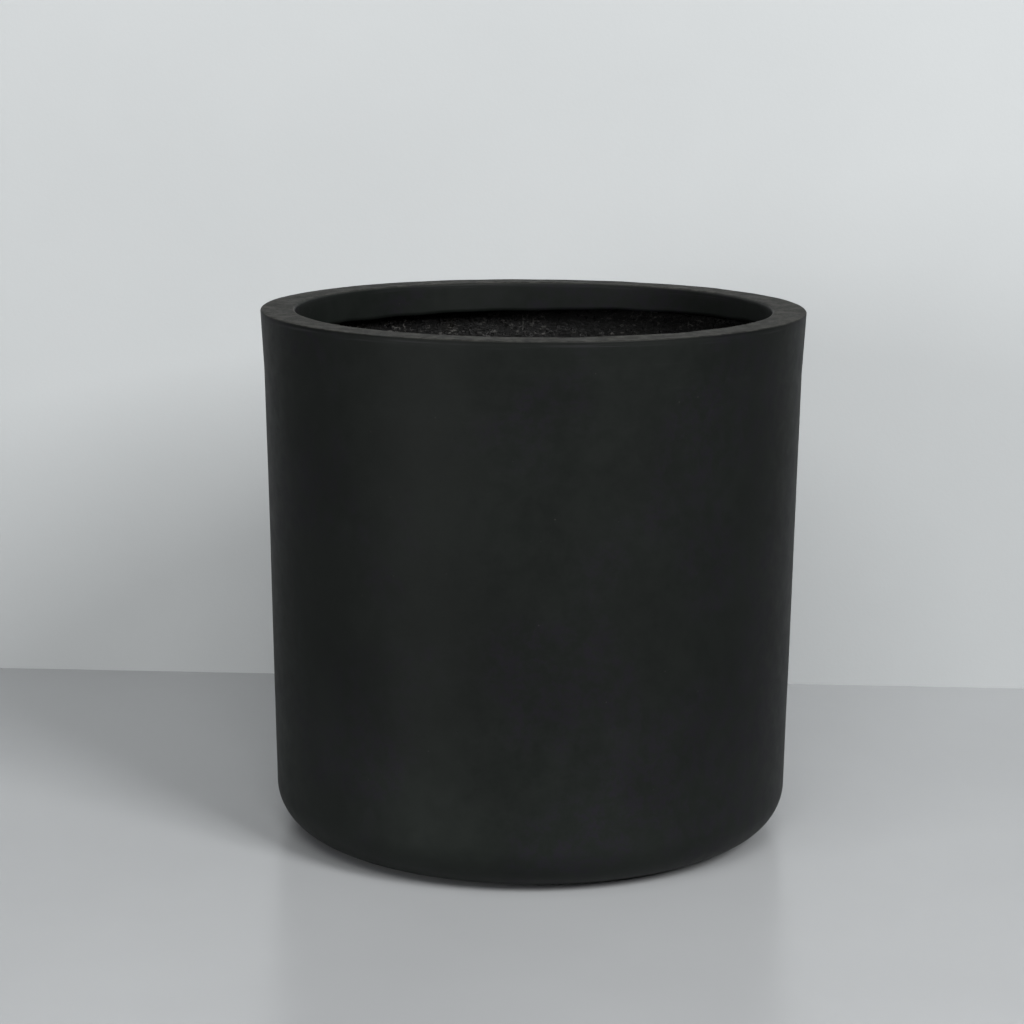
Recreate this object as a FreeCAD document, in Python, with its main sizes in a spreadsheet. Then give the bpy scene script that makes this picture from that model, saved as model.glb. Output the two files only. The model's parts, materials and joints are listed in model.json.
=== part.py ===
"""A round fibreglass planter, laid up in layers: a moulded outer skin that turns over a thick rim, a rim
core, a mat lining for the wall and one for the base, a lift-out drain plug and five rubber feet.

Millimetres. +Z is up, and the origin is on the floor, below the middle of the planter.
"""

import FreeCAD, Part
import os

import Sketcher

# Driving sizes: name, value, meaning. Angles are in degrees.
DRIVING_SIZES = [
    ("top_dia", 430, "outside of the rim, at its top"),
    ("overall_height", 420, "floor to the top of the rim"),
    ("draft", 1.05, "lean of the straight wall from upright, on each side"),
    ("flare", 1.8, "how far the rim stands out past the straight wall's line"),
    ("flare_height", 48, "height below the top at which the wall bends out to the rim"),
    ("flare_bend", 600, "radius of that bend"),
    ("base_fillet", 35.5, "outer radius of the rounded base edge"),
    ("rim_width", 27, "width of the rim's flat top"),
    ("lip_depth", 24, "height of the rim's inner face"),
    ("rim_edge", 2, "rounding of the rim's two top edges"),
    ("skin", 3, "thickness of the outer skin"),
    ("wall_mat", 3.5, "thickness of the wall lining"),
    ("base_mat", 5, "thickness of the base lining"),
    ("turn_up", 15, "how far the base lining runs up the wall, past the rounded edge"),
    ("bond", 0.3, "resin line between two layers"),
    ("drain_dia", 25, "drain hole"),
    ("plug_clearance", 0.3, "gap round the plug's stem, at its widest"),
    ("plug_taper", 1.2, "how much the stem's radius shrinks to its end"),
    ("plug_lift", 1, "height of the stem's end above the underside of the skin"),
    ("plug_overlap", 7, "how far the plug's flange reaches past the hole"),
    ("flange_thickness", 3, "thickness of the plug's flange"),
    ("flange_edge", 1, "rounding of the flange's top edge"),
    ("foot_height", 3, "thickness of a foot"),
    ("foot_dia", 22, "diameter of a foot"),
    ("foot_inset", 1, "gap from a foot to the edge of the flat underside"),
    ("foot_edge", 0.6, "chamfer round a foot's lower edge"),
    ("foot_count", 5, "number of feet"),
]

DOC = FreeCAD.newDocument("planter")
SIZES = DOC.addObject("Spreadsheet::Sheet", "Sizes")
for row, (alias, number, meaning) in enumerate(DRIVING_SIZES, start=1):
    SIZES.set(f"A{row}", meaning)
    SIZES.set(f"B{row}", str(number))
    SIZES.setAlias(f"B{row}", alias)
DOC.recompute()

# Heights and radii that follow from the driving sizes, as expressions.
UNDERSIDE = "Sizes.foot_height"
TOP = "Sizes.overall_height"
BEND = f"({TOP} - Sizes.flare_height)"
LIP_UNDERSIDE = f"({TOP} - Sizes.lip_depth)"
MOUTH = "(Sizes.top_dia / 2 - Sizes.rim_width)"
SKIN_FLOOR = f"({UNDERSIDE} + Sizes.skin)"
LINING = "(Sizes.skin + Sizes.bond)"
INSIDE = f"({LINING} + Sizes.wall_mat)"
LINING_UNDERSIDE = f"({SKIN_FLOOR} + Sizes.bond)"
INSIDE_FLOOR = f"({LINING_UNDERSIDE} + Sizes.base_mat)"
SEAM = f"({UNDERSIDE} + Sizes.base_fillet + Sizes.turn_up)"
DRAIN = "(Sizes.drain_dia / 2)"
AXIS = "0"

# A sketch edge's start, end and centre, and a sketch's own origin.
START = 1
END = 2
CENTRE = 3
SKETCH_ORIGIN = -1

MATCH = 1e-4  # how closely an edge found by its size and height has to match them


def value(expression):
    """The number that an expression has with the sheet's present sizes."""
    return float(SIZES.evalExpression(expression))


def wall(height, depth):
    """Radius of the wall at a height up to the bend. The depth is measured in from the outer face."""
    return f"(Sizes.top_dia / 2 - Sizes.flare - ({TOP} - {height}) * tan(Sizes.draft * 1 deg) - {depth})"


def flared_wall(height, depth):
    """The same at a height above the bend, where the wall runs out to the rim."""
    return f"({wall(height, depth)} + Sizes.flare * ({height} - {BEND}) / Sizes.flare_height)"


def new_body(name):
    body = DOC.addObject("PartDesign::Body", name)
    body.Label = name
    return body


def new_sketch(body, name, plane):
    """A sketch on one of the body's own origin planes."""
    origin_plane = next(item for item in body.Origin.OriginFeatures if item.Role == plane)
    sketch = body.newObject("Sketcher::SketchObject", name)
    sketch.AttachmentSupport = (origin_plane, [""])
    sketch.MapMode = "FlatFace"
    return sketch


def bind(sketch, kind, *edges_and_size):
    """Adds a dimension to a sketch. Its size is the last item, an expression that it stays bound to."""
    *edges, size = edges_and_size
    index = sketch.addConstraint(Sketcher.Constraint(kind, *edges, value(size)))
    sketch.setExpression(f"Constraints[{index}]", size)


def half_section(body, name, corners):
    """A closed outline. Each corner is (radius, height) or (radius, height, rounding)."""
    sketch = new_sketch(body, name, "XZ_Plane")
    points = [FreeCAD.Vector(value(corner[0]), value(corner[1]), 0) for corner in corners]
    edges = []
    for number, point in enumerate(points):
        following = points[(number + 1) % len(points)]
        edges.append(sketch.addGeometry(Part.LineSegment(point, following), False))
    for number, edge in enumerate(edges):
        before = edges[number - 1]
        sketch.addConstraint(Sketcher.Constraint("Coincident", before, END, edge, START))
        bind(sketch, "DistanceX", SKETCH_ORIGIN, START, edge, START, corners[number][0])
        bind(sketch, "DistanceY", SKETCH_ORIGIN, START, edge, START, corners[number][1])
    for number, corner in enumerate(corners):
        if len(corner) == 3:
            rounding = corner[2]
            # The corner itself stays in the sketch as a point that carries its two dimensions.
            sketch.fillet(edges[number - 1], END, value(rounding), True, True)
            arc = max(i for i, item in enumerate(sketch.Geometry) if isinstance(item, Part.ArcOfCircle))
            bind(sketch, "Radius", arc, rounding)
    return sketch


def revolve(body, name, corners):
    """A full turn of a half section about the upright axis."""
    sketch = half_section(body, f"{name}_section", corners)
    turn = body.newObject("PartDesign::Revolution", name)
    turn.Profile = sketch
    turn.ReferenceAxis = (sketch, ["V_Axis"])
    turn.Angle = 360
    DOC.recompute()
    return turn


def cut_drain(body, name):
    """The drain hole, cut upwards through everything that the body has on the axis."""
    solid_before = body.Shape.Volume
    sketch = new_sketch(body, f"{name}_circle", "XY_Plane")
    circle = sketch.addGeometry(Part.Circle(FreeCAD.Vector(0, 0, 0), FreeCAD.Vector(0, 0, 1), value(DRAIN)))
    sketch.addConstraint(Sketcher.Constraint("Coincident", circle, CENTRE, SKETCH_ORIGIN, START))
    bind(sketch, "Radius", circle, DRAIN)
    hole = body.newObject("PartDesign::Pocket", name)
    hole.Profile = sketch
    hole.Type = "ThroughAll"
    hole.Reversed = True
    DOC.recompute()
    if body.Shape.Volume >= solid_before:
        raise RuntimeError(f"{name} cuts nothing")
    return hole


def round_edges(body, name, rounding, *circles):
    """Rounds the edges that are full circles of the given (radius, height)."""
    base = body.Tip
    wanted = [(value(radius), value(height)) for radius, height in circles]
    edges = []
    for number, edge in enumerate(base.Shape.Edges, start=1):
        if not isinstance(edge.Curve, Part.Circle):
            continue
        radius, height = edge.Curve.Radius, edge.Curve.Center.z
        if any(abs(radius - r) < MATCH and abs(height - z) < MATCH for r, z in wanted):
            edges.append(f"Edge{number}")
    if len(edges) != len(circles):
        raise RuntimeError(f"{name} found {len(edges)} edges of {len(circles)}")
    fillet = body.newObject("PartDesign::Fillet", name)
    fillet.Base = (base, edges)
    fillet.setExpression("Radius", rounding)
    DOC.recompute()
    return fillet


def make_outer_skin():
    """The moulded skin: base, rounded edge, wall, the rim's top and the band down the rim's inner face."""
    body = new_body("outer_skin")
    inner_fillet = "(Sizes.base_fillet - Sizes.skin)"
    rim_ceiling = f"({TOP} - Sizes.skin)"
    band_back = f"({MOUTH} + Sizes.skin)"
    revolve(
        body,
        "skin_shell",
        [
            (AXIS, UNDERSIDE),
            (wall(UNDERSIDE, AXIS), UNDERSIDE, "Sizes.base_fillet"),
            (wall(BEND, AXIS), BEND, "Sizes.flare_bend"),
            (flared_wall(TOP, AXIS), TOP),
            (MOUTH, TOP),
            (MOUTH, LIP_UNDERSIDE),
            (band_back, LIP_UNDERSIDE),
            (band_back, rim_ceiling),
            (flared_wall(rim_ceiling, "Sizes.skin"), rim_ceiling),
            (wall(BEND, "Sizes.skin"), BEND, "Sizes.flare_bend"),
            (wall(SKIN_FLOOR, "Sizes.skin"), SKIN_FLOOR, inner_fillet),
            (AXIS, SKIN_FLOOR),
        ],
    )
    cut_drain(body, "skin_drain")
    round_edges(body, "rim_edges", "Sizes.rim_edge", (flared_wall(TOP, AXIS), TOP), (MOUTH, TOP))
    return body


def make_rim_core():
    """The coarse bar of resin and fibre that fills the rim between the wall and the inner band."""
    body = new_body("rim_core")
    ceiling = f"({TOP} - {LINING})"
    inner = f"({MOUTH} + {LINING})"
    revolve(
        body,
        "core_ring",
        [
            (inner, LIP_UNDERSIDE),
            (flared_wall(LIP_UNDERSIDE, LINING), LIP_UNDERSIDE),
            (flared_wall(ceiling, LINING), ceiling),
            (inner, ceiling),
        ],
    )
    return body


def make_wall_lining():
    """Woven mat and resin on the inside of the wall, from the base lining up to the rim core."""
    body = new_body("wall_lining")
    revolve(
        body,
        "wall_mat",
        [
            (wall(SEAM, LINING), SEAM),
            (wall(BEND, LINING), BEND, "Sizes.flare_bend"),
            (flared_wall(LIP_UNDERSIDE, LINING), LIP_UNDERSIDE),
            (flared_wall(LIP_UNDERSIDE, INSIDE), LIP_UNDERSIDE),
            (wall(BEND, INSIDE), BEND, "Sizes.flare_bend"),
            (wall(SEAM, INSIDE), SEAM),
        ],
    )
    return body


def make_base_lining():
    """The same mat on the base, turned up the wall past the rounded edge. The wall lining stands on it."""
    body = new_body("base_lining")
    revolve(
        body,
        "base_dish",
        [
            (AXIS, LINING_UNDERSIDE),
            (wall(LINING_UNDERSIDE, LINING), LINING_UNDERSIDE, f"(Sizes.base_fillet - {LINING})"),
            (wall(SEAM, LINING), SEAM),
            (wall(SEAM, INSIDE), SEAM),
            (wall(INSIDE_FLOOR, INSIDE), INSIDE_FLOOR, f"(Sizes.base_fillet - {INSIDE})"),
            (AXIS, INSIDE_FLOOR),
        ],
    )
    cut_drain(body, "lining_drain")
    return body


def make_drain_plug():
    """A rubber stopper: a flange that rests on the base lining and a tapered stem down the drain hole."""
    body = new_body("drain_plug")
    stem = f"({DRAIN} - Sizes.plug_clearance)"
    flange = f"({DRAIN} + Sizes.plug_overlap)"
    flange_top = f"({INSIDE_FLOOR} + Sizes.flange_thickness)"
    stem_end = f"({UNDERSIDE} + Sizes.plug_lift)"
    revolve(
        body,
        "stopper",
        [
            (AXIS, stem_end),
            (f"({stem} - Sizes.plug_taper)", stem_end),
            (stem, INSIDE_FLOOR),
            (flange, INSIDE_FLOOR),
            (flange, flange_top),
            (AXIS, flange_top),
        ],
    )
    round_edges(body, "flange_rounding", "Sizes.flange_edge", (flange, flange_top))
    return body


def make_foot(number, count):
    """One rubber pad. The first stands at the back, and the others are spread evenly round the base."""
    body = new_body(f"foot_{number}")
    edge_start = "(Sizes.foot_dia / 2 - Sizes.foot_edge)"
    revolve(
        body,
        f"pad_{number}",
        [
            (AXIS, "0"),
            (edge_start, "0"),
            ("(Sizes.foot_dia / 2)", "Sizes.foot_edge"),
            ("(Sizes.foot_dia / 2)", UNDERSIDE),
            (AXIS, UNDERSIDE),
        ],
    )
    draft = "(Sizes.draft * 1 deg)"
    flat = f"({wall(UNDERSIDE, AXIS)} - Sizes.base_fillet * (1 - sin({draft})) / cos({draft}))"
    reach = f"({flat} - Sizes.foot_inset - Sizes.foot_dia / 2)"
    turn = f"({number - 1} * 360 / {count} * 1 deg)"
    body.setExpression("Placement.Base.x", f"{reach} * sin({turn})")
    body.setExpression("Placement.Base.y", f"{reach} * cos({turn})")
    return body


def check(bodies):
    """Stops before anything is written if a feature failed or a piece isn't one sound solid."""
    for item in DOC.Objects:
        if "Invalid" in item.State or "Error" in item.State:
            raise RuntimeError(f"{item.Label} failed: {item.State}")
    for body in bodies:
        if body.Shape.isNull() or not body.Shape.isValid() or len(body.Shape.Solids) != 1:
            raise RuntimeError(f"{body.Label} isn't one sound solid")


def main():
    foot_count = int(value("Sizes.foot_count"))
    bodies = [
        make_outer_skin(),
        make_rim_core(),
        make_wall_lining(),
        make_base_lining(),
        make_drain_plug(),
    ]
    bodies += [make_foot(number, foot_count) for number in range(1, foot_count + 1)]
    DOC.recompute()
    check(bodies)
    os.makedirs("parts", exist_ok=True)
    for body in bodies:
        body.Shape.exportStep(f"parts/{body.Label}.step")
        box = body.Shape.optimalBoundingBox(False)
        print(
            f"{body.Label}: volume {body.Shape.Volume:.0f} mm3,"
            f" x {box.XMin:.2f} to {box.XMax:.2f}, z {box.ZMin:.2f} to {box.ZMax:.2f}"
        )


main()
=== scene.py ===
"""The looks of the round fibreglass planter: its moulded skin, trimmed rim, woven lining, plug and feet.

Everything is in metres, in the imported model's own frame: +Z up, the origin on the floor below the middle.
"""

import json
import math

import bpy
import numpy as np
from mathutils import Matrix, Vector


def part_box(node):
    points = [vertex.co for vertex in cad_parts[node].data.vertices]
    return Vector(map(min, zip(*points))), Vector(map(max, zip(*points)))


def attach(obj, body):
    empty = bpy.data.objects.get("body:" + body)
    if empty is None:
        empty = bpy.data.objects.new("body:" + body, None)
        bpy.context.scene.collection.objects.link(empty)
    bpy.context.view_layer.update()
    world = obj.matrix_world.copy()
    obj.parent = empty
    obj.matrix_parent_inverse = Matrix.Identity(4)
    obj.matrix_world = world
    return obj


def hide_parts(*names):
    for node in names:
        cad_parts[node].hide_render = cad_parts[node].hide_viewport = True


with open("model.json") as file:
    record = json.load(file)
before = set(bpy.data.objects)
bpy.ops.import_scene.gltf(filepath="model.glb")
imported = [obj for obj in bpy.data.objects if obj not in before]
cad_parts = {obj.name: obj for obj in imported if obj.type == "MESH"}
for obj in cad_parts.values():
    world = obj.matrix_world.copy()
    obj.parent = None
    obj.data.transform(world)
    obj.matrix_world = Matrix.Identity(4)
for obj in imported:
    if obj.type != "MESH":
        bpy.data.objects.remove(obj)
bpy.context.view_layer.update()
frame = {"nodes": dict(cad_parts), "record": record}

MM = 0.001
TURN = 2 * math.pi

# Sizes read from the frame. A node's box is its lowest corner and its highest one.
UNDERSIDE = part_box("outer_skin")[0][2]
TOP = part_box("outer_skin")[1][2]
LIP_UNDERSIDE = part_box("rim_core")[0][2]
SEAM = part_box("wall_lining")[0][2]
PLUG_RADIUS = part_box("drain_plug")[1][0]
MOUNTS = {mount["name"]: mount for mount in frame["record"]["mounts"]}
MOUTH = MOUNTS["liner_mouth"]["dims"]["r_mm"] * MM

# Sizes that the frame's boxes don't hold, as the solids have them.
RIM_RADIUS = 215 * MM
FLARE = 1.8 * MM
FLARE_HEIGHT = 48 * MM
DRAFT = math.radians(1.05)
BASE_FILLET = 35.5 * MM
SKIN = 3 * MM
LAYER_GAP = 0.3 * MM
WALL_MAT = 3.5 * MM
BASE_MAT = 5 * MM
DRAIN = 12.5 * MM
LINING = SKIN + LAYER_GAP
INSIDE = LINING + WALL_MAT
INSIDE_FLOOR = UNDERSIDE + LINING + BASE_MAT

# The rubbed rim: its edges' radii, how deep it is dipped and nicked, and how uneven the coat is.
OUTER_EDGE = 1.2 * MM
INNER_EDGE = 2.4 * MM
DIP = 0.11 * MM
OUTER_NICK = 0.35 * MM
INNER_NICK = 0.45 * MM
SLOW_UNEVENNESS = 0.09 * MM
QUICK_UNEVENNESS = 0.02 * MM

# The lip's trimmed edge: how far it lies above the solid's on average, leans, is oval and is ragged.
LIP_LIFT = 1.1 * MM
LIP_LEAN = 3.2 * MM
LIP_OVAL = 1.4 * MM
LIP_OVAL_TURN = math.radians(13)
LIP_RAGGED = 0.3 * MM
FILLER_ROUGH = 0.5 * MM

# The mat: its strands, and how much of the wall below the lip is cut up finely, because it shows most.
STRANDS = 212
STRAND_PITCH = 6 * MM
WEFT_PITCH = 3.4 * MM
STRAND_RELIEF = 0.85 * MM
LUMP_RELIEF = 0.28 * MM
FINE_MAT = 42 * MM

# How finely the pieces are cut up round the planter.
SKIN_COLUMNS = 800
CORE_COLUMNS = 320
WALL_COLUMNS_PER_STRAND = 5
BASE_COLUMNS_PER_STRAND = 3


# ---------------------------------------------------------------- shapes


def wall_radius(height, depth=0.0):
    """Radius of the wall at a height, for a face that lies depth inside the outer one."""
    straight = RIM_RADIUS - FLARE - (TOP - height) * math.tan(DRAFT)
    rise = max(0.0, (height - (TOP - FLARE_HEIGHT)) / FLARE_HEIGHT)
    return straight + FLARE * rise - depth


def on_wall(heights, depth=0.0):
    """Profile points (radius, height) up or down the wall."""
    return [(wall_radius(z, depth), z) for z in heights]


def spaced(start, end, step):
    """Evenly spaced numbers from start to end, both included, at most step apart."""
    count = max(1, math.ceil(abs(end - start) / step - 1e-6))
    return [start + (end - start) * i / count for i in range(count + 1)]


def arc(centre, radius, first, last, count):
    """Profile points along an arc. Angles are in degrees, from the outward direction."""
    angles = np.radians(np.linspace(first, last, count + 1))
    return [(centre[0] + radius * math.cos(a), centre[1] + radius * math.sin(a)) for a in angles]


def rounded_base(floor, depth, fillet, step):
    """A base from the drain hole out, round its edge and up to the top of the rounding."""
    slope = math.degrees(DRAFT)
    top_radius = wall_radius(floor + fillet, depth)
    centre = (top_radius - fillet, floor + fillet)
    flat = [(r, floor) for r in spaced(DRAIN, centre[0], step)]
    return flat[:-1] + arc(centre, fillet, -90, -slope, 24)


def waves(rng, angles, heights, most_turns, spacing, count=26):
    """Smooth unevenness, about 1 in size, that closes on itself round the planter."""
    total = np.zeros(np.broadcast(angles, heights).shape)
    for _ in range(count):
        turns = rng.integers(0, most_turns + 1)
        rise = rng.uniform(-1, 1) * TURN / spacing
        total += np.cos(turns * angles + rise * heights + rng.uniform(0, TURN))
    return total * math.sqrt(2 / count)


def nicks(rng, angles, count, width, depth):
    """Small dents at random places round the rim."""
    total = np.zeros(angles.shape)
    for _ in range(count):
        away = (angles - rng.uniform(0, TURN) + math.pi) % TURN - math.pi
        total += rng.uniform(0.3, 1.0) * depth * np.exp(-((away * RIM_RADIUS / width) ** 2))
    return total


def bell(values, middle, width):
    """1 at the middle, falling to 0 on both sides of it."""
    return np.exp(-(((values - middle) / width) ** 2))


def column_angles(columns):
    """Angles round the planter, from +X. The array is one row, to meet a column of profile points."""
    return (np.arange(columns) * TURN / columns)[None, :]


def turned(profile, columns):
    """Angles, radii and heights of a profile that is turned round the axis, to be made uneven."""
    points = np.array(profile)
    angles = column_angles(columns)
    return angles, points[:, :1] + 0 * angles, points[:, 1:] + 0 * angles


def ring_mesh(name, radii, heights):
    """A closed ring of quads from radii and heights, whose rows are profile points and columns angles."""
    rows, columns = radii.shape
    angles = column_angles(columns)
    points = np.stack([radii * np.cos(angles), radii * np.sin(angles), heights + 0 * angles], axis=-1)
    row, column = np.meshgrid(np.arange(rows), np.arange(columns), indexing="ij")
    next_row = (row + 1) % rows
    next_column = (column + 1) % columns
    corners = [(row, column), (row, next_column), (next_row, next_column), (next_row, column)]
    faces = np.stack([r * columns + c for r, c in corners], axis=-1).reshape(-1, 4)
    return mesh_object(name, points.reshape(-1, 3), faces)


def mesh_object(name, points, faces):
    """A smooth-shaded mesh object at the origin, made of quads."""
    mesh = bpy.data.meshes.new(name)
    mesh.vertices.add(len(points))
    mesh.vertices.foreach_set("co", np.asarray(points, dtype=np.float32).ravel())
    mesh.loops.add(faces.size)
    mesh.loops.foreach_set("vertex_index", faces.astype(np.int32).ravel())
    mesh.polygons.add(len(faces))
    mesh.polygons.foreach_set("loop_start", np.arange(0, faces.size, 4, dtype=np.int32))
    mesh.update(calc_edges=True)
    mesh.validate()
    mesh.polygons.foreach_set("use_smooth", np.ones(len(mesh.polygons), dtype=bool))
    piece = bpy.data.objects.new(name, mesh)
    bpy.context.scene.collection.objects.link(piece)
    return piece


# ---------------------------------------------------------------- pieces


def finish(piece, material, slot, body, *nodes):
    """Gives a piece its material and the body that it rides on, and hides the nodes that it stands for; slot
    is not used.
    """
    piece.data.materials.append(material)
    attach(piece, body)
    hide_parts(*nodes)


def trimmed_lip(angles):
    """Height of the lip's lower edge, which was trimmed by hand: lower at the left, higher at the right."""
    rng = np.random.default_rng(11)
    lean = LIP_LEAN * np.cos(angles)
    oval = LIP_OVAL * np.cos(2 * (angles - LIP_OVAL_TURN))
    return LIP_UNDERSIDE + LIP_LIFT + lean + oval + LIP_RAGGED * waves(rng, angles, 0.0, 24, 1.0)


def skin_profile():
    """The skin's section as three runs: outside and rim, the band inside the rim, and the back."""
    outside = rounded_base(UNDERSIDE, 0.0, BASE_FILLET, 14 * MM)
    outside += on_wall(spaced(outside[-1][1], TOP - OUTER_EDGE, 6 * MM)[1:])
    outer_centre = (wall_radius(TOP - OUTER_EDGE) - OUTER_EDGE, TOP - OUTER_EDGE)
    inner_centre = (MOUTH + INNER_EDGE, TOP - INNER_EDGE)
    outside += arc(outer_centre, OUTER_EDGE, 0, 90, 4)[1:]
    outside += [(r, TOP) for r in spaced(outer_centre[0], inner_centre[0], 2.5 * MM)[1:]]
    outside += arc(inner_centre, INNER_EDGE, 90, 180, 6)[1:]
    band = [(MOUTH, z) for z in spaced(TOP - INNER_EDGE, LIP_UNDERSIDE, 3 * MM)[1:]]
    back = [(MOUTH + SKIN, LIP_UNDERSIDE), (MOUTH + SKIN, TOP - SKIN)]
    back += on_wall([TOP - SKIN, TOP - FLARE_HEIGHT], SKIN)
    back += rounded_base(UNDERSIDE + SKIN, SKIN, BASE_FILLET - SKIN, 40 * MM)[::-1]
    return outside, band, back


def outer_skin(material):
    """The moulded skin, from the drain hole round the outside, over the rim and down to the lip's edge."""
    rng = np.random.default_rng(3)
    outside, band, back = skin_profile()
    angles, radii, heights = turned(outside + band + back, SKIN_COLUMNS)
    flat = radii[:, :1].copy()
    shown = np.zeros(flat.shape)
    shown[: len(outside) + len(band)] = 1.0

    # The coat was rubbed down by hand, so it is slightly uneven, but nowhere wider than the rim.
    slow = waves(rng, angles, heights, 7, 180 * MM)
    quick = waves(rng, angles, heights, 36, 45 * MM)
    uneven = SLOW_UNEVENNESS * (slow - 1.0) + QUICK_UNEVENNESS * (quick - 1.0)
    uneven = np.minimum(uneven, RIM_RADIUS - flat)
    on_base = np.clip((heights - UNDERSIDE) / BASE_FILLET, 0, 1)
    inside = flat < MOUTH + 4 * MM
    radii += shown * on_base * np.where(inside, -np.minimum(uneven, 0), uneven)

    # The rim's top has shallow dips, and nicks along its two edges.
    near_top = np.clip((heights - (TOP - INNER_EDGE)) / INNER_EDGE, 0, 1)
    dips = DIP * np.minimum(waves(rng, angles, radii * 3, 30, 60 * MM) - 2.0, 0)
    outer_nicks = nicks(rng, angles, 26, 2.4 * MM, OUTER_NICK)
    inner_nicks = nicks(rng, angles, 30, 2.6 * MM, INNER_NICK)
    at_outer = bell(flat, wall_radius(TOP - OUTER_EDGE), 1.3 * MM)
    at_inner = bell(flat, MOUTH, 1.8 * MM)
    heights += shown * near_top * (dips - at_outer * outer_nicks - at_inner * inner_nicks)

    # The band's lower edge, and the skin's end behind it, follow the trimmed lip.
    stretch = (TOP - trimmed_lip(angles)) / (TOP - LIP_UNDERSIDE)
    rows = slice(len(outside), len(outside) + len(band) + 1)
    heights[rows] = TOP - (TOP - heights[rows]) * stretch

    piece = ring_mesh("planter_skin", radii, heights)
    finish(piece, material, "moulded_skin", "planter", "outer_skin")


def rim_core(material):
    """The rim's filler: a rough underside that curves into the lining."""
    rng = np.random.default_rng(5)
    inner = MOUTH + SKIN + LAYER_GAP
    ceiling = TOP - SKIN - LAYER_GAP
    outer = wall_radius(LIP_UNDERSIDE, LINING)
    underside = [(r, LIP_UNDERSIDE) for r in spaced(inner, outer, 1.4 * MM)]
    back = on_wall(spaced(LIP_UNDERSIDE, ceiling, 7 * MM)[1:], LINING)
    front = [(inner, z) for z in spaced(ceiling, LIP_UNDERSIDE, 7 * MM)[:-1]]
    angles, radii, heights = turned(underside + back + front, CORE_COLUMNS)
    under = slice(0, len(underside))
    across = (radii[under] - inner) / (outer - inner)
    trimmed = trimmed_lip(angles) - LIP_UNDERSIDE
    rough = np.abs(FILLER_ROUGH * waves(rng, angles, radii[under], 90, 5 * MM, 40))
    fade = np.clip(1.25 * (1 - across), 0, 1)
    heights[under] += fade * (trimmed + rough * np.sin(math.pi * np.clip(across, 0, 1)))
    piece = ring_mesh("rim_filler", radii, heights)
    finish(piece, material, "resin_core", "planter", "rim_core")


def weave(rng, across, along, angles, heights):
    """Relief of the resin-soaked mat, in metres, down from the lining's face.

    across and along are the two directions' distances, counted in strands.
    """
    across = across + 0.3 * waves(rng, angles, heights, 60, 50 * MM)
    along = along + 0.55 * waves(rng, angles, heights, 70, 60 * MM)
    over = 0.5 + 0.5 * np.cos(math.pi * across) * np.cos(math.pi * along)
    warp = np.abs(np.cos(math.pi * across)) * (0.3 + 0.7 * over)
    weft = np.abs(np.cos(math.pi * along)) * (1.0 - 0.5 * over)
    more_weft = np.clip(0.5 + 0.6 * waves(rng, angles, heights, 5, 250 * MM), 0, 1)
    relief = np.maximum(warp * (1 - 0.6 * more_weft), weft * (0.5 + 0.5 * more_weft))
    flooded = np.clip(0.35 + 0.45 * waves(rng, angles, heights, 26, 45 * MM), 0, 1)
    lumps = waves(rng, angles, heights, 320, 5 * MM, 60)
    strands = STRAND_RELIEF * (1 - relief) * (1 - 0.6 * flooded)
    return strands + LUMP_RELIEF * np.clip(1 - 0.6 * lumps, 0, 3)


def wall_lining(material):
    """The woven mat up the inside of the wall."""
    rng = np.random.default_rng(17)
    change = LIP_UNDERSIDE - FINE_MAT
    inside = spaced(LIP_UNDERSIDE, change, 0.75 * MM) + spaced(change, SEAM, 1.6 * MM)[1:]
    outside = [SEAM, TOP - FLARE_HEIGHT, LIP_UNDERSIDE]
    profile = on_wall(inside, INSIDE) + on_wall(outside, LINING)
    angles, radii, heights = turned(profile, STRANDS * WALL_COLUMNS_PER_STRAND)
    face = slice(0, len(inside))
    z = heights[face]
    radii[face] += weave(rng, angles * STRANDS / TURN, z / WEFT_PITCH, angles, z)
    piece = ring_mesh("wall_mat", radii, heights)
    finish(piece, material, "woven_mat", "planter", "wall_lining")


def base_lining(material):
    """The woven mat on the base, turned up past the rounded edge, and flat where the plug sits on it."""
    rng = np.random.default_rng(23)
    fillet = BASE_FILLET - INSIDE
    inner = rounded_base(INSIDE_FLOOR, INSIDE, fillet, 2 * MM)
    inner += on_wall(spaced(inner[-1][1], SEAM, 2 * MM)[1:], INSIDE)
    outer = rounded_base(UNDERSIDE + LINING, LINING, BASE_FILLET - LINING, 30 * MM)
    outer += on_wall([SEAM], LINING)
    angles, radii, heights = turned(inner + outer[::-1], STRANDS * BASE_COLUMNS_PER_STRAND)
    face = slice(0, len(inner))
    r, z = radii[face], heights[face]
    relief = weave(rng, r * np.cos(angles) / STRAND_PITCH, r * np.sin(angles) / STRAND_PITCH, angles, r)
    relief *= np.clip((r - PLUG_RADIUS - 2 * MM) / (6 * MM), 0, 1)
    steep = np.clip((z - INSIDE_FLOOR) / fillet, 0, 1)
    heights[face] -= relief * (1 - steep)
    radii[face] += relief * steep
    piece = ring_mesh("base_mat", radii, heights)
    finish(piece, material, "woven_mat", "planter", "base_lining")


# ---------------------------------------------------------------- materials

# Linear colours of the coat, from its charcoal to the marks, dust and specks on it. The rim top's dust
# colours are also paler as painted light from above, the inner edge's colour is a painted highlight, and a
# dark line is painted below the outer edge.
CHARCOAL = (0.0036, 0.0045, 0.0039)
PALE_CHARCOAL = (0.0044, 0.0053, 0.0047)
VIOLET_GREY = (0.0046, 0.0044, 0.0057)
SANDED = (0.0090, 0.0095, 0.0092)
SCRATCHED = (0.0150, 0.0150, 0.0165)
THIN_DUST_AND_TOP_LIGHT = (0.0085, 0.0084, 0.0074)
DUST_AND_TOP_LIGHT = (0.0360, 0.0355, 0.0310)
THICK_DUST_AND_TOP_LIGHT = (0.043, 0.0424, 0.038)
PAINTED_EDGE_HIGHLIGHT = (0.080, 0.079, 0.074)
EDGE_DARK_LINE = (0.0006, 0.0007, 0.0006)
SPECK = (0.05, 0.049, 0.046)
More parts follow.
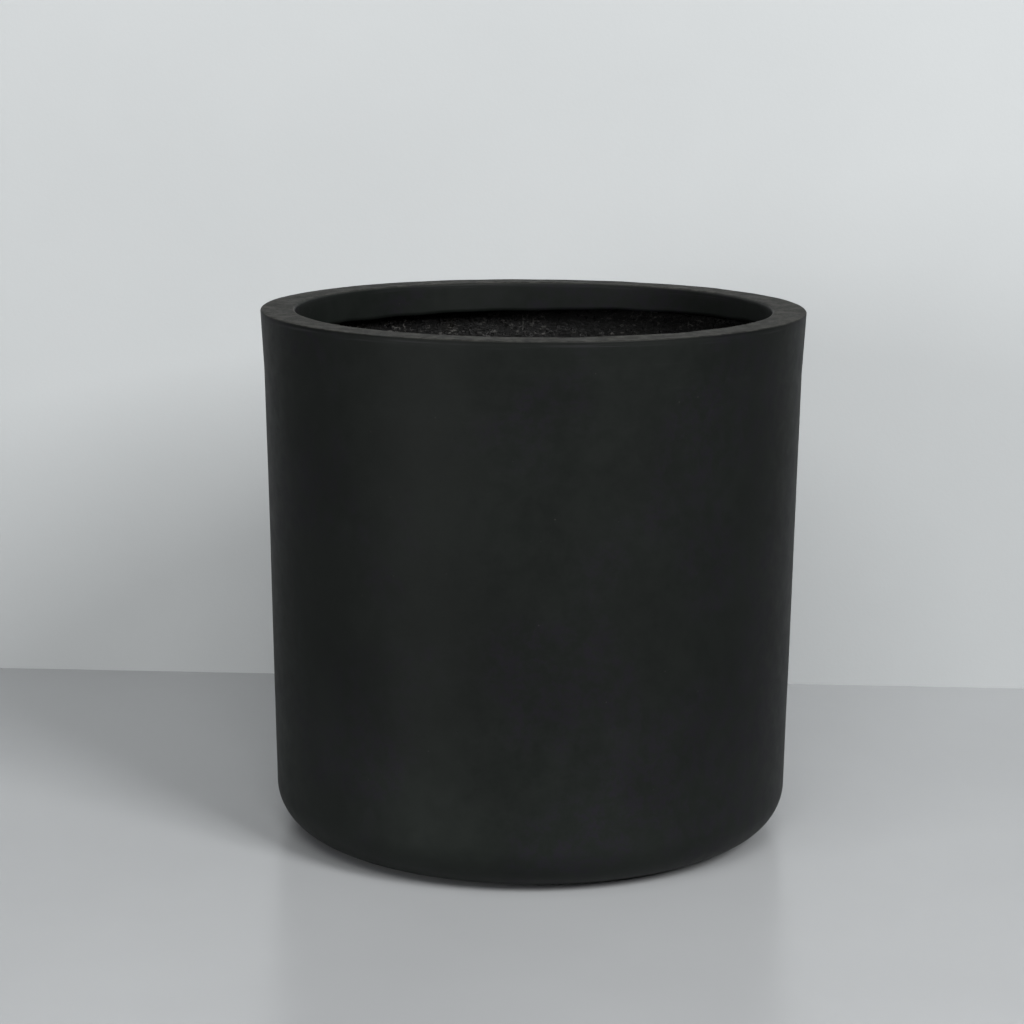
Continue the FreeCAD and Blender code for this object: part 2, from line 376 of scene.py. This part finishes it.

# Linear colours of the filler, the mat, the glints painted on it and the rubber's dust.
FILLER = (0.005, 0.005, 0.005)
PALE_FILLER = (0.014, 0.0135, 0.013)
RESIN = (0.0008, 0.0008, 0.0008)
PALE_RESIN = (0.0021, 0.0021, 0.0020)
AMBER_RESIN = (0.0060, 0.0050, 0.0032)
PAINTED_GLINT = (0.195, 0.191, 0.180)
RUBBER_DUST = (0.06, 0.058, 0.055)
PLUG_TONE = 0.012
FOOT_TONE = 0.010

# Where a highlight is painted on the wall, making it a little paler, low at the front left.
PAINTED_HIGHLIGHT_SPOT = (-80 * MM, -185 * MM, 52 * MM)


class Nodes:
    """Short calls for building a node material. x, y and z are the place on the object."""

    def __init__(self, name):
        self.material = bpy.data.materials.new(name)
        self.material.use_nodes = True
        self.tree = self.material.node_tree
        self.shader = self.tree.nodes["Principled BSDF"]
        self.place = self.add("ShaderNodeTexCoord").outputs["Object"]
        split = self.add("ShaderNodeSeparateXYZ")
        self.link(self.place, split.inputs[0])
        self.x, self.y, self.z = split.outputs

    def add(self, kind, **settings):
        node = self.tree.nodes.new(kind)
        for key, value in settings.items():
            setattr(node, key, value)
        return node

    def link(self, source, target):
        self.tree.links.new(source, target)

    def feed(self, socket, value):
        """Links an output to a socket, or sets the socket to a plain value."""
        if isinstance(value, bpy.types.NodeSocket):
            self.link(value, socket)
        else:
            socket.default_value = value

    def stretched(self, x, y, z):
        """The place, scaled along each axis."""
        node = self.add("ShaderNodeMapping")
        self.link(self.place, node.inputs["Vector"])
        node.inputs["Scale"].default_value = (x, y, z)
        return node.outputs["Vector"]

    def noise(self, scale, detail=3.0, roughness=0.5, place=None):
        node = self.add("ShaderNodeTexNoise")
        self.link(place or self.place, node.inputs["Vector"])
        node.inputs["Scale"].default_value = scale
        node.inputs["Detail"].default_value = detail
        node.inputs["Roughness"].default_value = roughness
        return node.outputs["Fac"]

    def spots(self, scale, radius, core, share):
        """1 on small round spots at some of many scattered points, 0 off them. Radii are in spacings."""
        node = self.add("ShaderNodeTexVoronoi")
        self.link(self.place, node.inputs["Vector"])
        node.inputs["Scale"].default_value = scale
        picked = self.ramp(node.outputs["Color"], share, share + 0.02)
        return self.product(self.ramp(node.outputs["Distance"], radius, core), picked)

    def math(self, operation, first, second=0.0):
        node = self.add("ShaderNodeMath", operation=operation)
        self.feed(node.inputs[0], first)
        self.feed(node.inputs[1], second)
        return node.outputs[0]

    def sum(self, first, *others):
        for other in others:
            first = self.math("ADD", first, other)
        return first

    def product(self, first, *others):
        for other in others:
            first = self.math("MULTIPLY", first, other)
        return first

    def from_axis(self):
        """Distance from the planter's axis."""
        return self.math("SQRT", self.sum(self.product(self.x, self.x), self.product(self.y, self.y)))

    def distance(self, point):
        node = self.add("ShaderNodeVectorMath", operation="DISTANCE")
        self.link(self.place, node.inputs[0])
        node.inputs[1].default_value = point
        return node.outputs["Value"]

    def ramp(self, value, low, high, to_low=0.0, to_high=1.0):
        """Maps low to high onto to_low to to_high, smoothly and clamped."""
        node = self.add("ShaderNodeMapRange", interpolation_type="SMOOTHSTEP")
        self.feed(node.inputs["Value"], value)
        node.inputs["From Min"].default_value = low
        node.inputs["From Max"].default_value = high
        node.inputs["To Min"].default_value = to_low
        node.inputs["To Max"].default_value = to_high
        return node.outputs["Result"]

    def mix(self, factor, first, second, blend="MIX"):
        node = self.add("ShaderNodeMix", data_type="RGBA", blend_type=blend)
        self.feed(node.inputs[0], factor)
        for socket, value in ((node.inputs[6], first), (node.inputs[7], second)):
            self.feed(socket, value if isinstance(value, bpy.types.NodeSocket) else (*value, 1.0))
        return node.outputs[2]

    def paler(self, factor, colour, times):
        """The colour made some times paler where the factor is 1."""
        return self.mix(factor, colour, self.mix(1.0, colour, (times, times, times), "MULTIPLY"))

    def bump(self, height, distance):
        node = self.add("ShaderNodeBump")
        self.feed(node.inputs["Height"], height)
        node.inputs["Distance"].default_value = distance
        return node.outputs["Normal"]

    def overlay(self, factor, shader):
        """Mixes another shader over the surface."""
        output = next(node for node in self.tree.nodes if node.type == "OUTPUT_MATERIAL")
        mixer = self.add("ShaderNodeMixShader")
        self.link(factor, mixer.inputs[0])
        self.link(self.shader.outputs[0], mixer.inputs[1])
        self.link(shader, mixer.inputs[2])
        self.link(mixer.outputs[0], output.inputs["Surface"])

    def done(self, colour, roughness, normal, **constants):
        self.feed(self.shader.inputs["Base Color"], colour)
        self.feed(self.shader.inputs["Roughness"], roughness)
        self.link(normal, self.shader.inputs["Normal"])
        for key, value in constants.items():
            self.shader.inputs[key.replace("_", " ")].default_value = value
        return self.material


def coat_colour(n, mottle, broad):
    """Greenish charcoal mottled violet-grey, mostly towards +X, with paler clouds, painted light on the
    inner band and a painted highlight low at the front left.
    """
    grains = n.noise(330.0, 2.0, 0.5)
    colour = n.mix(n.ramp(mottle, 0.3, 0.7), CHARCOAL, PALE_CHARCOAL)
    tinted = n.sum(n.noise(9.0, 3.0, 0.5), n.product(n.x, 0.45))
    violet = n.product(n.ramp(tinted, 0.45, 0.56), n.ramp(mottle, 0.40, 0.58), n.ramp(grains, 0.36, 0.56))
    colour = n.mix(violet, colour, VIOLET_GREY)
    clouds = n.sum(n.ramp(broad, 0.35, 0.65, 0.0, 0.3), n.ramp(grains, 0.35, 0.65, 0.0, 0.12))
    # Painted light: the band inside the rim is painted paler.
    band = n.ramp(n.from_axis(), MOUTH + 2.4 * MM, MOUTH + 0.6 * MM, 0.0, 0.3)
    # Painted highlight: the wall is paler round a spot low at the front left.
    painted_highlight = n.ramp(n.distance(PAINTED_HIGHLIGHT_SPOT), 75 * MM, 5 * MM, 0.0, 0.5)
    return n.paler(n.sum(clouds, band, painted_highlight), colour, 1.85)


def lower_light_and_sanding(n, colour, broad):
    """Painted light that makes the lower wall paler, and sanding marks round the wall, mostly near the top.
    """
    # Painted light: the wall is made paler towards the bottom.
    painted_low_light = n.sum(n.ramp(n.z, 170 * MM, 40 * MM, 0.0, 0.8), n.product(broad, 0.2))
    colour = n.paler(n.product(painted_low_light, n.ramp(n.z, 210 * MM, 120 * MM)), colour, 1.45)
    sanding = n.ramp(n.noise(6.0, 5.0, 0.65, n.stretched(1.5, 1.5, 60.0)), 0.54, 0.72)
    near_top = n.ramp(n.z, TOP - 80 * MM, TOP - 20 * MM, 0.12, 0.7)
    return n.mix(n.product(sanding, n.ramp(broad, 0.45, 0.6), near_top), colour, SANDED)


def rim_top_dust_and_light(n, colour, on_top, dust):
    """Uneven dust on the rim's flat top, painted paler also as light from above."""
    rubbed_and_lit = n.noise(90.0, 4.0, 0.6)
    # The top's dust colours are also painted paler, as light from above.
    dust_and_top_light = n.mix(n.ramp(dust, 0.40, 0.60), THIN_DUST_AND_TOP_LIGHT, DUST_AND_TOP_LIGHT)
    dust_and_top_light = n.mix(n.ramp(rubbed_and_lit, 0.52, 0.62, 0.0, 0.75), dust_and_top_light, THICK_DUST_AND_TOP_LIGHT)
    dust_and_top_light = n.mix(n.ramp(rubbed_and_lit, 0.47, 0.39, 0.0, 0.75), dust_and_top_light, THIN_DUST_AND_TOP_LIGHT)
    return n.mix(on_top, colour, dust_and_top_light)


def rim_edges(n, colour, dust):
    """A painted highlight along the rim's inner edge, mostly at the front, a painted dark line below its
    outer one, and scratches under both.
    """
    reach = n.from_axis()
    # Painted highlight: a pale line along the inner edge, strongest at the front.
    inner_edge = n.ramp(reach, MOUTH + 1.9 * MM, MOUTH + 1.2 * MM)
    near_top = n.ramp(n.z, TOP - 1.7 * MM, TOP - 1.1 * MM)
    mostly_in_front = n.ramp(n.y, 20 * MM, -30 * MM, 0.1, 0.7)
    rubbed_and_lit = n.product(inner_edge, near_top, n.ramp(dust, 0.3, 0.6, 0.6, 1.0), mostly_in_front)
    colour = n.mix(rubbed_and_lit, colour, PAINTED_EDGE_HIGHLIGHT)

    # A dark line is painted below the outer edge.
    outer_edge = n.ramp(reach, MOUTH + 12 * MM, MOUTH + 14 * MM, 0.0, 0.5)
    line_from = n.ramp(n.z, TOP - 2.6 * MM, TOP - 1.7 * MM)
    line_to = n.ramp(n.z, TOP - 1.0 * MM, TOP - 1.5 * MM)
    colour = n.mix(n.product(line_from, line_to, outer_edge), colour, EDGE_DARK_LINE)

    scratches = n.ramp(n.noise(9.0, 4.0, 0.6, n.stretched(1.5, 1.5, 110.0)), 0.52, 0.66, 0.0, 0.7)
    scratched_from = n.ramp(n.z, TOP - 7 * MM, TOP - 4 * MM)
    scratched_to = n.ramp(n.z, TOP - 2.2 * MM, TOP - 2.8 * MM)
    return n.mix(n.product(scratched_to, scratched_from, scratches), colour, SCRATCHED)


def skin_material():
    """Matt charcoal gel coat: cloudy and finely mottled, with sanding marks and a rubbed, dusty rim, and
    painted light: a paler lower wall, band and spot, a paler rim top and a highlight along its inner edge.
    """
    n = Nodes("charcoal_gel_coat")
    mottle = n.noise(75.0, 5.0, 0.62)
    broad = n.noise(14.0, 4.0, 0.6)
    dust = n.noise(260.0, 6.0, 0.72)
    on_top = n.ramp(n.z, TOP - 1.0 * MM, TOP - 0.25 * MM)

    colour = coat_colour(n, mottle, broad)
    colour = lower_light_and_sanding(n, colour, broad)
    colour = rim_top_dust_and_light(n, colour, on_top, dust)
    colour = rim_edges(n, colour, dust)
    specks = n.spots(120.0, 0.09, 0.03, 0.8)
    colour = n.mix(n.product(specks, 0.3), colour, SPECK)

    roughness = n.sum(n.ramp(mottle, 0.25, 0.75, 0.50, 0.58), n.product(on_top, 0.12))
    grain = n.noise(900.0, 3.0, 0.6)
    peel = n.noise(120.0, 4.0, 0.6)
    pinholes = n.spots(95.0, 0.075, 0.03, 0.82)
    height = n.sum(n.product(grain, 0.03), n.product(peel, 0.1), n.product(dust, on_top, 0.35))
    height = n.math("SUBTRACT", height, n.product(pinholes, 0.4))
    return n.done(colour, roughness, n.bump(height, 0.4 * MM), Specular_IOR_Level=0.1)


def filler_material():
    """The coarse filler under the rim."""
    n = Nodes("coarse_filler")
    lumps = n.noise(260.0, 6.0, 0.7)
    colour = n.mix(n.ramp(lumps, 0.3, 0.7), FILLER, PALE_FILLER)
    return n.done(colour, n.ramp(lumps, 0.2, 0.8, 0.4, 0.7), n.bump(lumps, 1.2 * MM))


def mat_material():
    """Glass mat soaked with dark resin: fibres both ways with painted glints on them, and glints where the
    resin is glossy.
    """
    n = Nodes("soaked_glass_mat")
    fibres_up = n.noise(60.0, 4.0, 0.65, n.stretched(8.0, 8.0, 2.2))
    fibres_round = n.noise(60.0, 4.0, 0.65, n.stretched(3.0, 3.0, 8.5))
    upright = n.ramp(n.noise(16.0, 2.0, 0.5), 0.45, 0.6, 0.8, 0.94)
    fibres = n.math("MAXIMUM", n.product(fibres_up, upright), fibres_round)
    colour = n.mix(n.ramp(n.noise(30.0, 5.0, 0.65), 0.3, 0.7), RESIN, PALE_RESIN)
    colour = n.mix(n.ramp(n.noise(11.0, 2.0, 0.5), 0.6, 0.7, 0.0, 0.6), colour, AMBER_RESIN)

    # Less resin reached the mat lower down, so it is paler there. Glints are painted on more of its fibres
    # there and towards -X, the side that the light falls on.
    drier = n.ramp(n.z, TOP - 65 * MM, TOP - 150 * MM)
    colour = n.paler(drier, colour, 5.0)
    glint_spread = n.math("MAXIMUM", n.ramp(n.x, -45 * MM, -100 * MM, 0.3, 1.0), n.product(drier, 0.8))
    patches = n.ramp(n.noise(45.0, 3.0, 0.6), 0.42, 0.58, 0.12, 1.0)
    painted_glints = n.product(n.ramp(fibres, 0.56, 0.66), patches, glint_spread)
    colour = n.mix(painted_glints, colour, PAINTED_GLINT)

    roughness = n.ramp(n.noise(220.0, 4.0, 0.6), 0.4, 0.62, 0.26, 0.6)
    height = n.sum(fibres, n.product(n.noise(520.0, 4.0, 0.7), 0.6))
    return n.done(colour, roughness, n.bump(height, 1.7 * MM), Specular_IOR_Level=0.2)


def rubber_material(name, tone):
    """Moulded black rubber with a faint bloom and dust."""
    n = Nodes(name)
    bloom = n.noise(110.0, 5.0, 0.65)
    dust = n.noise(700.0, 3.0, 0.7)
    colour = n.mix(n.ramp(bloom, 0.3, 0.75), (tone, tone, tone), (1.9 * tone, 1.85 * tone, 1.8 * tone))
    colour = n.mix(n.ramp(dust, 0.62, 0.75, 0.0, 0.5), colour, RUBBER_DUST)
    height = n.sum(n.product(dust, 0.4), bloom)
    return n.done(colour, n.ramp(bloom, 0.2, 0.8, 0.55, 0.75), n.bump(height, 0.12 * MM))


# ---------------------------------------------------------------- stage, light and camera

MIDDLE = (0, 0, 0.2)
FLOOR_SIZE = (40.0, 40.0)
FLOOR_COLOUR = (0.345, 0.354, 0.362)
PALE_FLOOR_COLOUR = (0.366, 0.376, 0.384)
WALL_COLOUR = (0.400, 0.415, 0.420)
PALE_WALL_COLOUR = (0.415, 0.430, 0.435)
SURROUND = (0.32, 0.33, 0.335)
ROOM_LIGHT = (0.037, 0.038, 0.039)

# From where to where the floor runs into the surroundings' colour.
FAR_FLOOR = (1.0, 2.2)

# Above this band of directions, by their Z, the surroundings are as dim as the room's light.
HORIZON_BAND = (0.03, 0.22)

BACKDROP_AT = 0.444
BACKDROP_TURN = math.radians(-2.98)
BACKDROP_SIZE = (1.5, 1.1)
BACKDROP_FADE = 0.16


def panel(name, size, material, place):
    """A flat panel, which belongs to the stage."""
    half_x, half_y = size[0] / 2, size[1] / 2
    corners = [(-half_x, -half_y, 0), (half_x, -half_y, 0), (half_x, half_y, 0), (-half_x, half_y, 0)]
    mesh = bpy.data.meshes.new(name)
    mesh.from_pydata(corners, [], [(0, 1, 2, 3)])
    mesh.materials.append(material)
    item = bpy.data.objects.new(name, mesh)
    item.matrix_world = place
    bpy.context.scene.collection.objects.link(item)
    return item


def seen_rays(tree):
    """1 for rays that show the surroundings, to the camera, in gloss or through glass, and 0 for light."""
    rays = tree.nodes.new("ShaderNodeLightPath")
    total = rays.outputs["Is Camera Ray"]
    for kind in ("Is Glossy Ray", "Is Transmission Ray"):
        largest = tree.nodes.new("ShaderNodeMath")
        largest.operation = "MAXIMUM"
        tree.links.new(total, largest.inputs[0])
        tree.links.new(rays.outputs[kind], largest.inputs[1])
        total = largest.outputs[0]
    return total


def floor_material():
    """Pale satin floor that runs into the colour of the surroundings far from the planter."""
    n = Nodes("pale_floor")
    shade = n.mix(n.ramp(n.noise(2.2, 4.0, 0.55), 0.3, 0.7), FLOOR_COLOUR, PALE_FLOOR_COLOUR)
    n.done(shade, 0.25, n.bump(n.noise(260.0, 3.0, 0.6), 0.05 * MM))
    far = n.product(n.ramp(n.from_axis(), *FAR_FLOOR), seen_rays(n.tree))
    glow = n.add("ShaderNodeEmission")
    glow.inputs["Color"].default_value = (*SURROUND, 1.0)
    n.overlay(far, glow.outputs[0])
    return n.material


def wall_material():
    """Pale matt backdrop, clear at its edges and from behind, so that it hides nothing in other views."""
    n = Nodes("pale_wall")
    shade = n.mix(n.ramp(n.noise(2.2, 4.0, 0.55), 0.3, 0.7), WALL_COLOUR, PALE_WALL_COLOUR)
    n.done(shade, 0.9, n.bump(n.noise(260.0, 3.0, 0.6), 0.1 * MM))
    half_width, half_height = BACKDROP_SIZE[0] / 2, BACKDROP_SIZE[1] / 2
    side = n.ramp(n.math("ABSOLUTE", n.x), half_width - BACKDROP_FADE, half_width)
    top = n.ramp(n.y, half_height - BACKDROP_FADE, half_height)
    behind = n.add("ShaderNodeNewGeometry").outputs["Backfacing"]
    clear = n.product(n.math("MAXIMUM", n.math("MAXIMUM", side, top), behind), seen_rays(n.tree))
    n.overlay(clear, n.add("ShaderNodeBsdfTransparent").outputs[0])
    return n.material


def make_stage():
    """The floor, and a backdrop that throws no shadow on the floor behind it."""
    panel("floor", FLOOR_SIZE, floor_material(), Matrix.Identity(4))
    stand = Matrix.Rotation(math.radians(90), 4, "X")
    turn = Matrix.Rotation(BACKDROP_TURN, 4, "Z")
    place = Matrix.Translation((0, BACKDROP_AT, BACKDROP_SIZE[1] / 2)) @ turn
    backdrop = panel("backdrop", BACKDROP_SIZE, wall_material(), place @ stand)
    backdrop.visible_shadow = False


def around(azimuth, elevation, distance):
    """A point round the planter's middle. Azimuth is in degrees from the camera's side, to the right."""
    turn, rise = math.radians(azimuth), math.radians(elevation)
    reach = distance * math.cos(rise)
    return (reach * math.sin(turn), -reach * math.cos(turn), MIDDLE[2] + distance * math.sin(rise))


# Each lamp's name, place, width and height in metres, and power in watts.
LAMPS = [
    ("overhead", (0.1, -1.3, 3.6), (2.4, 1.9), 20),
    ("left", around(-44, 9, 3.4), (1.5, 1.4), 51),
    ("right", around(40.5, 33, 3.9), (1.2, 1.7), 165),
    ("front", around(-5, 40, 3.8), (1.9, 1.2), 71),
]


def softbox(name, place, size, power):
    """A rectangular lamp that faces the planter's middle."""
    light = bpy.data.lights.new(name, "AREA")
    light.shape = "RECTANGLE"
    light.size, light.size_y = size
    light.energy = power
    lamp = bpy.data.objects.new(name, light)
    lamp.location = place
    towards = Vector(MIDDLE) - Vector(place)
    lamp.rotation_euler = towards.to_track_quat("-Z", "Y").to_euler()
    bpy.context.scene.collection.objects.link(lamp)


def make_room():
    """Dim light from all round. Seen directly or in gloss, the surroundings are pale near the horizon."""
    world = bpy.data.worlds.new("room")
    world.use_nodes = True
    tree = world.node_tree
    direction = tree.nodes.new("ShaderNodeSeparateXYZ")
    tree.links.new(tree.nodes.new("ShaderNodeTexCoord").outputs["Generated"], direction.inputs[0])
    band = tree.nodes.new("ShaderNodeMapRange")
    band.interpolation_type = "SMOOTHSTEP"
    tree.links.new(direction.outputs["Z"], band.inputs["Value"])
    band.inputs["From Min"].default_value, band.inputs["From Max"].default_value = HORIZON_BAND
    band.inputs["To Min"].default_value, band.inputs["To Max"].default_value = 1.0, 0.0
    low = tree.nodes.new("ShaderNodeMath")
    low.operation = "MULTIPLY"
    tree.links.new(band.outputs["Result"], low.inputs[0])
    tree.links.new(seen_rays(tree), low.inputs[1])
    shown = tree.nodes.new("ShaderNodeMix")
    shown.data_type = "RGBA"
    tree.links.new(low.outputs[0], shown.inputs[0])
    shown.inputs[6].default_value = (*ROOM_LIGHT, 1.0)
    shown.inputs[7].default_value = (*SURROUND, 1.0)
    tree.links.new(shown.outputs[2], tree.nodes["Background"].inputs["Color"])
    bpy.context.scene.world = world


# The camera that the photograph's rim, sides and base fit. Angles are in radians.
CAMERA_DISTANCE = 2.0391
CAMERA_HEIGHT = 0.6526
CAMERA_YAW = -0.0079
CAMERA_PITCH = 0.19273
CAMERA_ROLL = 0.0050
FOCAL_PIXELS = 2587.1
PICTURE_WIDTH = 1024
SENSOR_WIDTH_MM = 36


def make_camera():
    sideways = math.sin(CAMERA_YAW) * math.cos(CAMERA_PITCH)
    ahead = math.cos(CAMERA_YAW) * math.cos(CAMERA_PITCH)
    forward = Vector((sideways, ahead, -math.sin(CAMERA_PITCH)))
    level_right = Vector((math.cos(CAMERA_YAW), -math.sin(CAMERA_YAW), 0))
    level_up = level_right.cross(forward)
    right = level_right * math.cos(CAMERA_ROLL) + level_up * math.sin(CAMERA_ROLL)
    up = level_up * math.cos(CAMERA_ROLL) - level_right * math.sin(CAMERA_ROLL)
    lens = bpy.data.cameras.new("camera")
    lens.sensor_width = SENSOR_WIDTH_MM
    lens.lens = FOCAL_PIXELS / PICTURE_WIDTH * SENSOR_WIDTH_MM
    lens.clip_end = 50
    camera = bpy.data.objects.new("camera", lens)
    turn = Matrix((right, up, -forward)).transposed().to_4x4()
    camera.matrix_world = Matrix.Translation((0, -CAMERA_DISTANCE, CAMERA_HEIGHT)) @ turn
    bpy.context.scene.collection.objects.link(camera)
    bpy.context.scene.camera = camera


def dress_rubber():
    """Rubber on the CAD nodes that keep their own meshes: the plug and the feet."""
    plug = rubber_material("stopper_rubber", PLUG_TONE)
    foot = rubber_material("pad_rubber", FOOT_TONE)
    for node, piece in frame["nodes"].items():
        if node == "drain_plug" or node.startswith("foot"):
            piece.material_slots[0].material = plug if node == "drain_plug" else foot


def main():
    skin = skin_material()
    mat = mat_material()
    outer_skin(skin)
    rim_core(filler_material())
    wall_lining(mat)
    base_lining(mat)
    dress_rubber()
    make_stage()
    for lamp in LAMPS:
        softbox(*lamp)
    make_room()
    make_camera()
    bpy.context.scene.view_settings.view_transform = "Standard"


main()
